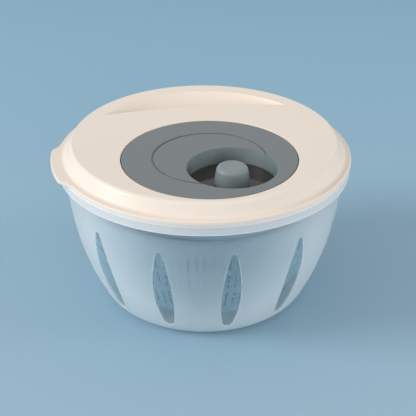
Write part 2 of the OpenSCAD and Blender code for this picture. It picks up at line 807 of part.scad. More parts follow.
// The places of the ring gear's screws
module at_ring_screws() {
    at_disc() around(ring_screw_count, well_turn + 180 / ring_screw_count)
        translate([ring_screw_r, 0, 0]) children();
}

module crank_disc() color([0.49, 0.52, 0.52]) difference() {
    union() {
        at_disc() rotate_extrude() disc_section();
        at_ring_screws() rod(boss_r, gear_top_z, disc_z - disc_t / 2);
        at_disc() tube(ring_screw_r - rib_t / 2, ring_screw_r + rib_t / 2,
                       cup_floor_z, disc_z - disc_t / 2);
        at_well() well_cone(disc_t, cup_floor_z - cup_floor_t, disc_z - disc_t / 2);
        at_well() rod(spindle_r + running + hub_wall, hub_low_z, cup_floor_z);
    }
    at_well() well_cone(0, cup_floor_z, disc_z + over);
    at_well() rotate_extrude() well_edge_section();
    at_well() rod(spindle_r + running, hub_low_z - over, cup_floor_z + over);
    at_ring_screws() rod(screw_r - thread_grip, gear_top_z - over,
                         gear_top_z + screw_bite + pilot_spare);
    at_disc() rotate_extrude() polygon([
        [groove_r, disc_z - groove_d], [groove_r + groove_w, disc_z + groove_d],
        [groove_r - groove_w, disc_z + groove_d]]);
}

module ring_gear() color([0.88, 0.88, 0.86]) at_disc() difference() {
    union() {
        rod(ring_pitch_r + dedendum * gear_module + gear_wall, gear_low_z, gear_top_z);
        rod(ring_rim_r, gear_top_z - ring_web_t, gear_top_z);
        tube(ring_rim_r - gear_wall, ring_rim_r, gear_low_z, gear_top_z);
    }
    translate([0, 0, gear_low_z - over]) linear_extrude(height = gear_h + 2 * over)
        polygon(tooth_points(ring_teeth, ring_pitch_r - gear_module,
                             ring_pitch_r + dedendum * gear_module, backlash / 2));
    translate([0, -disc_y, 0]) at_ring_screws()
        rod(screw_r + seat, gear_top_z - ring_web_t - over, gear_top_z + over);
}

module ring_screws() color([0.75, 0.76, 0.78])
    at_ring_screws() screw(gear_top_z - ring_web_t, gear_top_z + screw_bite);

// The floor of the well, with a spindle under it and a spigot that the knob fits over
module knob_turntable() color([0.34, 0.34, 0.32]) at_well() difference() {
    union() {
        rod(well_r - (well_depth + turntable_t) * tan(well_draft) - gap,
            well_floor_z - turntable_t, well_floor_z);
        rod(spindle_r, spindle_low_z, well_floor_z);
        rod(spigot_r, well_floor_z - turntable_t / 2, well_floor_z + knob_h / 2);
    }
    rod(screw_r - thread_grip, spindle_low_z - over, spindle_low_z + screw_bite + pilot_spare);
}

// Half-section of the knob: a tapered side and a rounded top
module knob_section(inset) {
    side_r = knob_base_r - inset / cos(knob_taper);
    round_r = knob_round - inset / 2;
    round_z = knob_h - inset - round_r;
    round_x = side_r - round_z * tan(knob_taper) - round_r / cos(knob_taper);
    polygon([[0, 0], [side_r, 0],
             [round_x + round_r * cos(knob_taper), round_z + round_r * sin(knob_taper)],
             [round_x, round_z], [round_x, round_z + round_r], [0, round_z + round_r]]);
    translate([round_x, round_z]) circle(r = round_r);
}

// The fillet between the knob's side and the turntable
module knob_foot_section() {
    centre_r = knob_base_r + knob_foot_round * (1 / cos(knob_taper) - tan(knob_taper));
    intersection() {
        corner_section([centre_r, knob_foot_round], knob_foot_round, 180 + knob_taper, 270);
        square([centre_r, knob_h]);
    }
}

// A hollow knob with a socket for the spigot and a seat for the cap
module finger_knob() color([0.46, 0.50, 0.50]) at_well() translate([0, 0, well_floor_z])
    difference() {
        union() {
            difference() {
                rotate_extrude() {
                    knob_section(0);
                    knob_foot_section();
                }
                translate([0, 0, -over]) rod(knob_base_r - knob_wall / cos(knob_taper), 0, 2 * over);
                rotate_extrude() knob_section(knob_wall);
            }
            rod(spigot_r + seat + knob_wall, 0, knob_h - knob_wall / 2);
            rod(cap_r + knob_wall, knob_h - cap_t - knob_wall, knob_h - knob_wall / 2);
        }
        rod(spigot_r + seat, -over, knob_h / 2 + seat);
        rod(cap_r, knob_h - cap_t, knob_h + over);
    }

// The cap's top is a shallow dish that lies a little under the knob's face
module knob_cap() color([0.50, 0.54, 0.54]) at_well() translate([0, 0, well_floor_z])
    difference() {
        rod(cap_r - seat, knob_h - cap_t, knob_h - cap_sink);
        translate([0, 0, knob_h - cap_sink - cap_dish + cap_dish_r])
            sphere(r = cap_dish_r, $fn = 256);
    }

module knob_washer() color([0.75, 0.76, 0.78]) at_well()
    tube(screw_r + seat, spindle_r + hub_wall, knob_washer_z, knob_washer_z + washer_t);

module knob_screw() color([0.75, 0.76, 0.78])
    at_well() screw(knob_washer_z, spindle_low_z + screw_bite);

// A spur pinion on its shaft, whose lower end is a hexagon that carries the driver plate
module drive_pinion() color([0.88, 0.88, 0.86]) difference() {
    union() {
        translate([0, 0, gear_low_z]) linear_extrude(height = gear_h)
            polygon(tooth_points(pinion_teeth, pinion_pitch_r - dedendum * gear_module,
                                 pinion_pitch_r + gear_module, -backlash / 2));
        rod(shaft_r, driver_top_z, gear_top_z);
        rod(hex_r, shaft_low_z, gear_low_z, $fn = 6);
    }
    rod(screw_r - thread_grip, shaft_low_z - over, shaft_low_z + screw_bite + pilot_spare);
}

// Windows between the driver plate's spokes
module driver_windows() {
    difference() {
        tube(bush_r + spoke_root, driver_r - driver_band, driver_low_z - over, driver_top_z + over);
        around(lug_count, 180 / lug_count)
            translate([0, -spoke_w / 2, driver_low_z - driver_rib_h - over])
                cube([driver_r, spoke_w, driver_rib_h + driver_t + 3 * over]);
    }
}

// Round plate over the basket with a hub, stiffening ribs and drive lugs
module driver_plate() color([0.90, 0.88, 0.84]) difference() {
    rib_r = driver_r - driver_band / 2;
    rib_z = driver_low_z - driver_rib_h;
    union() {
        rod(driver_r, driver_low_z, driver_top_z);
        rod(bush_r + hub_wall, driver_hub_z, driver_top_z);
        tube(rib_r - rib_t, rib_r, rib_z, driver_low_z + driver_t / 2);
        around(lug_count, 180 / lug_count) translate([bush_r, -rib_t / 2, rib_z])
            cube([rib_r - rib_t / 2 - bush_r, rib_t, driver_rib_h + driver_t / 2]);
        around(lug_count) translate([lug_out_r - lug_t, -lug_w / 2, driver_low_z - lug_h])
            cube([lug_t, lug_w, lug_h + driver_t / 2]);
    }
    driver_windows();
    rod(hex_r + seat, shaft_low_z, driver_top_z + over, $fn = 6);
    rod(screw_r + seat, driver_hub_z - over, shaft_low_z + over);
}

module driver_washer() color([0.75, 0.76, 0.78])
    tube(screw_r + seat, bush_r, driver_hub_z - washer_t, driver_hub_z);

module driver_screw() color([0.75, 0.76, 0.78])
    screw(driver_hub_z - washer_t, shaft_low_z + screw_bite);

bowl();
basket();
lid_shell();
gear_tray();
tray_screws();
glide_ring();
shaft_bush();
thrust_washer();
crank_disc();
ring_gear();
ring_screws();
knob_turntable();
finger_knob();
knob_cap();
knob_washer();
knob_screw();
drive_pinion();
driver_plate();
driver_washer();
driver_screw();
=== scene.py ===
import math

import bmesh
import bpy
from mathutils import Matrix, Vector


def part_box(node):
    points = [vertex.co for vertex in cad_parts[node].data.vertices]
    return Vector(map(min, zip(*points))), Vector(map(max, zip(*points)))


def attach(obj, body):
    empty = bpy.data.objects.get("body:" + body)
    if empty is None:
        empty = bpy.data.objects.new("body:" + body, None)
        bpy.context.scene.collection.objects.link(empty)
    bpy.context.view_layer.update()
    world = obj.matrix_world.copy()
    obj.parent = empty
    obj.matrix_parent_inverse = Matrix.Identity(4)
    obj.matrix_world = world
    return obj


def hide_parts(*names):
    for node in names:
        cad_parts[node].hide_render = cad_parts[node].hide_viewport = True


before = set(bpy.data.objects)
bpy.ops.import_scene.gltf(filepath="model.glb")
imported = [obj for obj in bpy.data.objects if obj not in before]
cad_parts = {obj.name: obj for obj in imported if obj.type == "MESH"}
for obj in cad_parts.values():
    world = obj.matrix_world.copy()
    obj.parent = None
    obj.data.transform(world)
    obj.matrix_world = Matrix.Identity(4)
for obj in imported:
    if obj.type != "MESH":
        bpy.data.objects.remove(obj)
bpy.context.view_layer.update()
print("frame loaded")

# Distance and target in metres, downward slope and turn in degrees
camera = {
    "distance": 0.989, "slope": 28.63, "turn": -8.0,
    "target": (0.00328, 0.0, 0.0765),
    "lens": 97.36, "sensor": 36,
    "near": 0.05, "far": 20,
}


def turned(point, degrees):
    return Matrix.Rotation(math.radians(degrees), 3, "Z") @ Vector(point)


def aimAt(piece, target):
    piece.rotation_euler = (target - piece.location).to_track_quat("-Z", "Y").to_euler()


def addCamera():
    data = bpy.data.cameras.new("camera")
    data.lens = camera["lens"]
    data.sensor_width = camera["sensor"]
    data.clip_start = camera["near"]
    data.clip_end = camera["far"]
    piece = bpy.data.objects.new("camera", data)
    bpy.context.scene.collection.objects.link(piece)
    slope = math.radians(camera["slope"])
    target = Vector(camera["target"])
    eye = target + camera["distance"] * Vector((0, -math.cos(slope), math.sin(slope)))
    piece.location = turned(eye, camera["turn"])
    aimAt(piece, turned(target, camera["turn"]))
    bpy.context.scene.camera = piece


addCamera()
print("camera placed")


def mm(value):
    return value / 1000


# Colours are written from 0 to 255, as a colour picker shows them
def linear(rgb):
    def one(v):
        v /= 255
        return v / 12.92 if v <= 0.04045 else ((v + 0.055) / 1.055) ** 2.4
    return tuple(one(v) for v in rgb) + (1,)


def newMaterial(name):
    mat = bpy.data.materials.new(name)
    mat.use_nodes = True
    tree = mat.node_tree
    return mat, tree.nodes, tree.links, tree.nodes["Principled BSDF"]


def noiseOf(nodes, links, scale, detail=3, stretch=(1, 1, 1)):
    place = nodes.new("ShaderNodeTexCoord")
    mapping = nodes.new("ShaderNodeMapping")
    mapping.inputs["Scale"].default_value = stretch
    noise = nodes.new("ShaderNodeTexNoise")
    noise.inputs["Scale"].default_value = scale
    noise.inputs["Detail"].default_value = detail
    links.new(place.outputs["Object"], mapping.inputs["Vector"])
    links.new(mapping.outputs["Vector"], noise.inputs["Vector"])
    return noise.outputs["Fac"]


def ranged(nodes, links, value, source, result):
    ramp = nodes.new("ShaderNodeMapRange")
    ramp.inputs["From Min"].default_value, ramp.inputs["From Max"].default_value = source
    ramp.inputs["To Min"].default_value, ramp.inputs["To Max"].default_value = result
    links.new(value, ramp.inputs["Value"])
    return ramp.outputs["Result"]


# Most of the noise lies from 0.3 to 0.7
def spread(nodes, links, noise, result):
    return ranged(nodes, links, noise, (0.3, 0.7), result)


def tinted(nodes, links, value, dark, light):
    mix = nodes.new("ShaderNodeMix")
    mix.data_type = "RGBA"
    mix.inputs["A"].default_value = linear(dark)
    mix.inputs["B"].default_value = linear(light)
    links.new(value, mix.inputs["Factor"])
    return mix.outputs["Result"]


def bumpOf(nodes, links, grain, height):
    bump = nodes.new("ShaderNodeBump")
    bump.inputs["Distance"].default_value = height
    links.new(noiseOf(nodes, links, grain, detail=2), bump.inputs["Height"])
    return bump.outputs["Normal"]


# Moulded plastic: a fine grain, a soft mottling and an uneven polish
def mouldedPlastic(name, dark, light, rough, grain=900, height=0.00002, mottle=14,
                   stretch=(1, 1, 1), metal=0.0):
    mat, nodes, links, shader = newMaterial(name)
    cloud = noiseOf(nodes, links, mottle, stretch=stretch)
    links.new(tinted(nodes, links, cloud, dark, light), shader.inputs["Base Color"])
    links.new(spread(nodes, links, cloud, rough), shader.inputs["Roughness"])
    links.new(bumpOf(nodes, links, grain, height), shader.inputs["Normal"])
    shader.inputs["Metallic"].default_value = metal
    return mat


# Milky plastic: clearer where the wall is seen square on, milkier where it is seen slantwise
def milkyPlastic(name, values):
    mat, nodes, links, glassy = newMaterial(name)
    cloud = noiseOf(nodes, links, values["mottle"])
    milkTint = tinted(nodes, links, cloud, *values["colours"])
    glassTint = tinted(nodes, links, cloud, *values["glass"])
    grain = bumpOf(nodes, links, values["grain"], values["height"])
    glassy.inputs["Transmission Weight"].default_value = 1.0
    glassy.inputs["IOR"].default_value = values["ior"]
    links.new(spread(nodes, links, cloud, values["rough"]), glassy.inputs["Roughness"])
    milky = nodes.new("ShaderNodeBsdfPrincipled")
    milky.inputs["Roughness"].default_value = values["sheen"]
    through = nodes.new("ShaderNodeBsdfTranslucent")
    for shader, socket, tint in ((glassy, "Base Color", glassTint),
                                 (milky, "Base Color", milkTint), (through, "Color", milkTint)):
        links.new(tint, shader.inputs[socket])
        links.new(grain, shader.inputs["Normal"])
    body = nodes.new("ShaderNodeMixShader")
    body.inputs["Fac"].default_value = values["through"]
    links.new(milky.outputs["BSDF"], body.inputs[1])
    links.new(through.outputs["BSDF"], body.inputs[2])
    slant = nodes.new("ShaderNodeLayerWeight")
    slant.inputs["Blend"].default_value = 0.5
    haze = ranged(nodes, links, slant.outputs["Facing"],
                  (values["clearTo"], values["milkyFrom"]), values["milk"])
    wall = nodes.new("ShaderNodeMixShader")
    links.new(footPaintedLight(nodes, links, haze, values), wall.inputs["Fac"])
    links.new(glassy.outputs["BSDF"], wall.inputs[1])
    links.new(body.outputs["Shader"], wall.inputs[2])
    links.new(letThrough(nodes, links, wall, values["lamps"]),
              nodes["Material Output"].inputs["Surface"])
    return mat


# More haze, so a lighter wall, towards the foot: painted light for the brighter lower bowl
def footPaintedLight(nodes, links, haze, values):
    place = nodes.new("ShaderNodeTexCoord")
    axes = nodes.new("ShaderNodeSeparateXYZ")
    links.new(place.outputs["Object"], axes.inputs["Vector"])
    both = nodes.new("ShaderNodeMath")
    both.operation = "ADD"
    both.use_clamp = True
    links.new(haze, both.inputs[0])
    links.new(ranged(nodes, links, axes.outputs["Z"], (0.0, values["footTop"]),
                     (values["footPaintedMilk"], 0.0)), both.inputs[1])
    return both.outputs["Value"]


# Lamps shine through the wall, which the glass shader alone would block
def letThrough(nodes, links, wall, share):
    path = nodes.new("ShaderNodeLightPath")
    amount = nodes.new("ShaderNodeMath")
    amount.operation = "MULTIPLY"
    amount.inputs[1].default_value = share
    clear = nodes.new("ShaderNodeBsdfTransparent")
    pane = nodes.new("ShaderNodeMixShader")
    links.new(path.outputs["Is Shadow Ray"], amount.inputs[0])
    links.new(amount.outputs["Value"], pane.inputs["Fac"])
    links.new(wall.outputs["Shader"], pane.inputs[1])
    links.new(clear.outputs["BSDF"], pane.inputs[2])
    return pane.outputs["Shader"]


# Pairs run from the darkest and smoothest spots to the lightest and roughest. milk is the share
# of milkiness seen square on and seen slantwise, lamps the share of lamplight let through
bowlFinish = {
    "colours": ((225, 235, 239), (235, 243, 246)), "glass": ((222, 243, 253), (232, 249, 255)),
    "rough": (0.28, 0.36), "sheen": 0.42, "ior": 1.35,
    "mottle": 9, "grain": 900, "height": 0.00002,
    "through": 0.4, "milk": (0.06, 1.0), "clearTo": 0.12, "milkyFrom": 0.6,
    # The foot's extra milkiness, up to footTop, is painted light for the brighter lower bowl
    "footPaintedMilk": 0.35, "footTop": 0.06, "lamps": 0.6,
}
windowFinish = dict(bowlFinish, footPaintedMilk=0.0, rough=(0.04, 0.08), milk=(0.0, 0.06), grain=200)
rimFinish = dict(bowlFinish, colours=((225, 227, 228), (231, 233, 234)), through=0.25,
                 milk=(0.9, 1.0))
# The skirt's edges get this whitest, fully milky finish: painted highlight lines
paintedHighlightFinish = dict(rimFinish, colours=((250, 252, 253), (252, 254, 255)), milk=(1.0, 1.0))
basketFinish = dict(bowlFinish, footPaintedMilk=0.0, rough=(0.08, 0.14), milk=(0.25, 0.45), lamps=0.8)

frostedPlastic = milkyPlastic("frostedPlastic", bowlFinish)
polishedPlastic = milkyPlastic("polishedPlastic", windowFinish)
rimPlastic = milkyPlastic("rimPlastic", rimFinish)
paintedHighlightPlastic = milkyPlastic("paintedHighlightPlastic", paintedHighlightFinish)
basketPlastic = milkyPlastic("basketPlastic", basketFinish)
cream = mouldedPlastic("creamPlastic", (233, 220, 206), (237, 224, 210), (0.27, 0.33))
slate = mouldedPlastic("slatePlastic", (109, 117, 117), (114, 122, 122), (0.2, 0.28))
# Well wall: lighter and bluer than the disc's own plastic, with vertical streaks; painted light of
# the lamp-lit wall and painted highlight streaks
wellWallPaintedLight = mouldedPlastic("wellPaintedLightPlastic", (108, 120, 122), (136, 150, 153), (0.2, 0.3),
                          stretch=(5, 5, 0.2))
knobPlastic = mouldedPlastic("knobPlastic", (128, 138, 138), (133, 143, 143), (0.36, 0.42))
darkPlastic = mouldedPlastic("turntablePlastic", (50, 46, 39), (56, 52, 45), (0.05, 0.09))
# Gear tray and driver plate: blue-grey as painted shade, the colour of the shaded inside seen
# through the bowl's wall
innerPaintedShadePlastic = mouldedPlastic("innerPaintedShadePlastic", (126, 148, 162), (132, 154, 168), (0.3, 0.4))
acetal = mouldedPlastic("acetalPlastic", (222, 222, 216), (230, 230, 224), (0.3, 0.4), 1200)
slippery = mouldedPlastic("slidePlastic", (206, 204, 196), (214, 212, 204), (0.22, 0.3), 600)
bushPlastic = mouldedPlastic("bushPlastic", (212, 202, 176), (220, 210, 184), (0.35, 0.45), 700)
steel = mouldedPlastic("turnedSteel", (176, 178, 182), (192, 194, 198), (0.22, 0.34), 1500,
                       height=0.00001, stretch=(1, 1, 12), metal=1.0)


def dress(mat, *names):
    for name in names:
        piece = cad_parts[name]
        piece.data.materials.clear()
        piece.data.materials.append(mat)


dress(basketPlastic, "basket")
dress(innerPaintedShadePlastic, "gear_tray", "driver_plate")
dress(acetal, "ring_gear", "drive_pinion")
dress(slippery, "glide_ring", "thrust_washer")
dress(bushPlastic, "shaft_bush")
dress(knobPlastic, "knob_cap")
dress(steel, "ring_screws", "tray_screws", "knob_washer", "knob_screw", "driver_washer",
      "driver_screw")
print("materials made")


def finishPiece(name, bm, mats, body, sharp=35):
    bm.normal_update()
    for face in bm.faces:
        face.smooth = True
    for edge in bm.edges:
        edge.smooth = edge.calc_face_angle(0) < math.radians(sharp)
    mesh = bpy.data.meshes.new(name)
    bm.to_mesh(mesh)
    bm.free()
    for mat in mats:
        mesh.materials.append(mat)
    piece = bpy.data.objects.new(name, mesh)
    bpy.context.scene.collection.objects.link(piece)
    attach(piece, body)
    return piece


# Full turn of a half-section about the Z axis
def spunProfile(points, steps):
    bm = bmesh.new()
    verts = [bm.verts.new((r, 0, z)) for r, z in points]
    edges = [bm.edges.new(pair) for pair in zip(verts, verts[1:])]
    bmesh.ops.spin(bm, geom=verts + edges, cent=(0, 0, 0), axis=(0, 0, 1),
                   angle=2 * math.pi, steps=steps, use_merge=True)
    bmesh.ops.remove_doubles(bm, verts=bm.verts, dist=1e-7)
    bmesh.ops.recalc_face_normals(bm, faces=bm.faces)
    return bm


def arc(centre, radius, start, end, steps):
    turns = [math.radians(start + (end - start) * i / steps) for i in range(steps + 1)]
    return [(centre[0] + radius * math.cos(t), centre[1] + radius * math.sin(t)) for t in turns]


# Side of a bowl: a round foot, then an arc that eases into the straight upper side. The upper
# side, measured from where its line crosses the lower one, is ratio times the lower one
class VesselSide:
    def __init__(self, values):
        self.foot, self.curve = values["foot"], values["curve"]
        self.sideAngle = math.radians(values["sideAngle"])
        way = Vector((math.cos(self.sideAngle), math.sin(self.sideAngle)))
        joint = Vector((self.foot + self.curve * way.y, self.curve * (1 - way.x)))
        chord = Vector(values["top"]) - joint
        along, share = chord.dot(way), values["ratio"] ** 2 - 1
        reach = (math.sqrt(along ** 2 + share * chord.length_squared) - along) / share
        upper = chord - reach * way
        self.topAngle = math.atan2(upper.y, upper.x)
        self.arc = reach / math.tan((self.topAngle - self.sideAngle) / 2)
        self.centre = joint + self.arc * Vector((-way.y, way.x))

    def radiusAt(self, z, inset=0.0):
        footTop = self.curve - (self.curve - inset) * math.cos(self.sideAngle)
        arcTop = self.centre.y - (self.arc - inset) * math.cos(self.topAngle)
        if z < footTop:
            rise = max(0.0, (self.curve - inset) ** 2 - (self.curve - z) ** 2)
            return self.foot + math.sqrt(rise)
        if z < arcTop:
            return self.centre.x + math.sqrt((self.arc - inset) ** 2 - (self.centre.y - z) ** 2)
        arcEnd = self.centre.x + (self.arc - inset) * math.sin(self.topAngle)
        return arcEnd + (z - arcTop) / math.tan(self.topAngle)

    def outwardAt(self, z):
        inFoot = z < self.curve * (1 - math.cos(self.sideAngle))
        centre = Vector((self.foot, self.curve)) if inFoot else self.centre
        return (Vector((self.radiusAt(z), z)) - centre).normalized()


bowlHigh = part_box("bowl")[1]
bowl = {
    "foot": 0.0733, "curve": 0.0195, "sideAngle": 62, "ratio": 2, "wall": 0.002,
    # Degrees up the foot's rounding to where its arcs end, and where the inside's rows begin
    "footTurn": 48, "rowTurn": 56, "footSteps": 6,
    "rimOut": 0.0034, "rimHigh": 0.0089, "rimWall": 0.0016, "rimPaintedHighlight": 0.0009,
    "rimCorner": 0.001, "rimEdge": 0.0005, "mouthEdge": 0.0006, "soft": 0.0003,
    "pipRadius": 0.004, "pipHigh": 0.012, "pipEdge": 0.0006, "pipFoot": 0.0005,
    # Radii of rings under the bowl and on its floor, and heights of rows below and above the
    # windows
    "underRings": (0, 0.012, 0.03, 0.05, 0.066), "floorRings": (0.06, 0.045, 0.03, 0.016),
    "lowRows": (0.0085, 0.0105, 0.012),
    "highRows": (0.0975, 0.099, 0.102, 0.106, 0.111, 0.1155), "insideRows": 30,
    "windows": 12, "windowTurn": 4, "windowWide": 0.0165,
    "windowLow": 0.013, "windowMiddle": 0.050, "windowHigh": 0.0969,
    "windowLowRound": 0.0042, "windowHighRound": 0.0026,
    "windowDeep": 0.0007, "windowEdge": 0.00036,
    # Distances in millimetres from a window's end, where its rows lie close together
    "endRows": (0, 0.12, 0.3, 0.6, 1.0, 1.5, 2.1, 2.8, 3.6, 4.6), "endSpace": 6,
    "middleRows": 24, "relax": 0.009,
    # How far inside a window's outline its last columns lie: at most so many millimetres, and
    # at most such a share of half its width
    "lastColumns": ((0.65, 0.6), (0.38, 0.4), (0.16, 0.2)),
    "innerColumns": 3, "outerColumns": 7, "firstOutside": 0.0003, "narrowest": 0.0003,
    # Heights between which the wall's columns follow the windows, and where its finish changes
    "sideLow": 0.0035, "sideHigh": 0.118, "skin": 0.0012,
    "milkyIn": 0.006, "milkyOut": 0.003, "polishedFrom": 0.4,
}
bowl["top"] = (bowlHigh[0] - bowl["rimOut"], bowlHigh[2])
bowlSide = VesselSide(bowl)


# A window's outline at a height: a small circle at the tip, a large one along the side
def windowShape(z):
    low = z < bowl["windowMiddle"]
    end = bowl["windowLow"] if low else bowl["windowHigh"]
    tip = bowl["windowLowRound"] if low else bowl["windowHighRound"]
    reach, up = abs(end - bowl["windowMiddle"]), abs(z - bowl["windowMiddle"])
    half = bowl["windowWide"] / 2
    bow = ((reach - tip) ** 2 + half ** 2 - tip ** 2) / (2 * half - 2 * tip)
    atTip = up > bow * (reach - tip) / (bow - tip)
    return reach - tip, tip, bow, bow - half, up, atTip


# Half of the window's width at a height
def windowHalf(z):
    tipMiddle, tip, bow, shift, up, atTip = windowShape(z)
    if atTip:
        return math.sqrt(max(0.0, tip ** 2 - (up - tipMiddle) ** 2))
    return math.sqrt(bow ** 2 - up ** 2) - shift


# How far inside the window's outline a point lies
def windowInside(across, z):
    tipMiddle, tip, bow, shift, up, atTip = windowShape(z)
    if atTip:
        return tip - math.hypot(across, up - tipMiddle)
    return bow - math.hypot(abs(across) + shift, up)


# Heights of the rows of points across a window
def windowRows():
    near = [mm(v) for v in bowl["endRows"]]
    rows = [bowl["windowLow"] + v for v in near] + [bowl["windowHigh"] - v for v in near]
    first = bowl["windowLow"] + mm(bowl["endSpace"])
    last = bowl["windowHigh"] - mm(bowl["endSpace"])
    count = bowl["middleRows"]
    rows += [first + (last - first) * i / count for i in range(count + 1)]
    return sorted(rows)


# Column positions in metres from the window's middle to halfway to the next one
def windowColumns(half, edge):
    last, middle, border = (half - min(mm(most), share * half)
                            for most, share in bowl["lastColumns"])
    inner, outer = bowl["innerColumns"], bowl["outerColumns"]
    first = half + bowl["firstOutside"]
    return ([last * i / inner for i in range(inner + 1)] + [middle, border, half]
            + [first + (edge - first) * i / outer for i in range(outer + 1)])


def eased(share):
    return share * share * (3 - 2 * share)


# The bowl's section runs from the middle of its underside up the outer wall, over the rim,
# down the inside and up the pip
def underAndSide(rows):
    points = [(r, 0) for r in bowl["underRings"]]
    points += arc((bowl["foot"], bowl["curve"]), bowl["curve"], 270, 270 + bowl["footTurn"],
                  bowl["footSteps"])
    heights = [*bowl["lowRows"], *rows, *bowl["highRows"], bowlHigh[2] - bowl["rimHigh"]]
    return points + [(bowlSide.radiusAt(z), z) for z in heights]


# The rim turns out from the wall, hangs down as a skirt and is rounded over the top
def rimSection():
    wall, corner, edge, soft = (bowl[key] for key in ("rimWall", "rimCorner", "rimEdge", "soft"))
    out, topZ = bowlHigh[0], bowlHigh[2]
    low, under = topZ - bowl["rimHigh"], topZ - wall
    points = [(bowlSide.radiusAt(under - corner), under - corner),
              (bowlSide.radiusAt(under - soft) + soft, under - soft),
              (bowlSide.radiusAt(under) + corner, under),
              (out - wall, under), (out - wall, low + soft), (out - wall + soft, low),
              (out - edge, low), (out - soft / 2, low + soft / 2), (out, low + edge),
              (out, low + bowl["rimPaintedHighlight"])]
    return points + arc((out - wall, topZ - wall), wall, 0, 90, 6)


def insideOfBowl():
    wall, topZ, count = bowl["wall"], bowlHigh[2], bowl["insideRows"]
    curve, edge = bowl["curve"], bowl["mouthEdge"]
    mouth = bowlSide.radiusAt(topZ, wall)
    points = [(mouth + edge, topZ), (mouth + edge / 3, topZ - edge / 3), (mouth, topZ - edge)]
    lowZ = curve - (curve - wall) * math.cos(math.radians(bowl["rowTurn"]))
    heights = [topZ + (lowZ - topZ) * i / count for i in range(1, count + 1)]
    points += [(bowlSide.radiusAt(z, wall), z) for z in heights]
    points += arc((bowl["foot"], curve), curve - wall, 270 + bowl["footTurn"], 270,
                  bowl["footSteps"])
    return points + [(r, wall) for r in bowl["floorRings"]]


# The pip that the basket turns on stands on the floor with a widened foot
def pipSection():
    wall, pip, top = bowl["wall"], bowl["pipRadius"], bowl["pipHigh"]
    foot, edge = bowl["pipFoot"], bowl["pipEdge"]
    return [(2 * pip + mm(0.4), wall), (2 * pip - mm(0.2), wall + mm(0.2)),
            (pip + foot, wall + pip - foot), (pip, wall + pip + mm(0.4)),
            (pip, top - edge), (pip - edge / 3, top - edge / 3), (pip - edge, top), (0, top)]


# Moves the outer wall's columns onto the windows' outlines and sinks the windows into it.
# The result says for each point how far inside a window's border it lies, from 0 to 1
def shapeWindows(bm, rows, columns):
    period = 2 * math.pi / bowl["windows"]
    outside = [v for v in bm.verts if bowl["sideLow"] < v.co.z < bowl["sideHigh"]
               and abs(v.co.xy.length - bowlSide.radiusAt(v.co.z)) < 1e-5]
    shares = {}
    for vert in outside:
        r, z = vert.co.xy.length, vert.co.z
        index = round(math.atan2(vert.co.y, vert.co.x) / (period / 2 / columns))
        window = round(index / (2 * columns))
        column = index - window * 2 * columns
        inside = min(max(z, rows[0]), rows[-1])
        half = max(windowHalf(inside), bowl["narrowest"])
        fitted = windowColumns(half, period / 2 * r)[abs(column)] / r
        even = period / 2 * abs(column) / columns
        turn = fitted + (even - fitted) * eased(min(1.0, abs(z - inside) / bowl["relax"]))
        angle = window * period + math.copysign(turn, column)
        shares[vert] = min(1.0, max(0.0, windowInside(r * math.sin(turn), z) / bowl["windowEdge"]))
        sunk = bowl["windowDeep"] * eased(shares[vert]) if rows[0] <= z <= rows[-1] else 0.0
        outward = bowlSide.outwardAt(z)
        r -= sunk * outward.x
        vert.co = (r * math.cos(angle), r * math.sin(angle), z - sunk * outward.y)
    return shares


# Polished windows and inside, a milky foot, milkier windows' borders that are partly painted
# highlight, and a rim whose skirt edges are whitened as painted highlight lines
def paintBowl(bm, shares):
    frosted, polished, rim, edge = range(4)
    paintedHighlightTop = bowlHigh[2] - bowl["rimHigh"] + bowl["rimPaintedHighlight"]
    roundLow = bowlHigh[2] - bowl["rimWall"]
    for face in bm.faces:
        middle = face.calc_center_median()
        around = [shares.get(v, 0) for v in face.verts]
        inner = middle.xy.length < bowlSide.radiusAt(middle.z, bowl["skin"])
        skirt = middle.xy.length > bowlHigh[0] - 2 * bowl["rimWall"]
        face.material_index = frosted
        if middle.z < (bowl["milkyIn"] if inner else bowl["milkyOut"]):
            face.material_index = rim
        elif inner or min(around) > bowl["polishedFrom"]:
            face.material_index = polished
        # The skirt's lower band and rounded top: painted highlight lines in the whitest finish
        elif skirt and not paintedHighlightTop < middle.z < roundLow:
            face.material_index = edge
        # Window borders take the milkier rim finish: partly the milky step, partly painted
        # highlight
        elif skirt or max(around) > 0:
            face.material_index = rim


def makeBowl():
    rows = windowRows()
    columns = len(windowColumns(1, 2)) - 1
    section = underAndSide(rows) + rimSection() + insideOfBowl() + pipSection()
    bm = spunProfile(section, bowl["windows"] * 2 * columns)
    paintBowl(bm, shapeWindows(bm, rows, columns))
    start = math.radians(bowl["windowTurn"])
    bmesh.ops.rotate(bm, verts=bm.verts, cent=(0, 0, 0), matrix=Matrix.Rotation(start, 3, "Z"))
    piece = finishPiece("bowl_body", bm,
                        [frostedPlastic, polishedPlastic, rimPlastic, paintedHighlightPlastic], "bowl")
    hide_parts("bowl")


makeBowl()
print("bowl made")


# Copy of a carried-over node with its corners merged, and its flat areas joined if asked
def cadCopy(name, flat=False):
    bm = bmesh.new()
    bm.from_mesh(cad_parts[name].data)
    bmesh.ops.remove_doubles(bm, verts=bm.verts, dist=1e-6)
    if flat:
        bmesh.ops.dissolve_limit(bm, angle_limit=math.radians(0.2), verts=bm.verts,
                                 edges=bm.edges)
    return bm


# Large faces set the shading's direction, so that rounded edges don't darken them
def evenNormals(piece):
    evening = piece.modifiers.new("even", "WEIGHTED_NORMAL")
    evening.keep_sharp = True
    evening.weight = 100


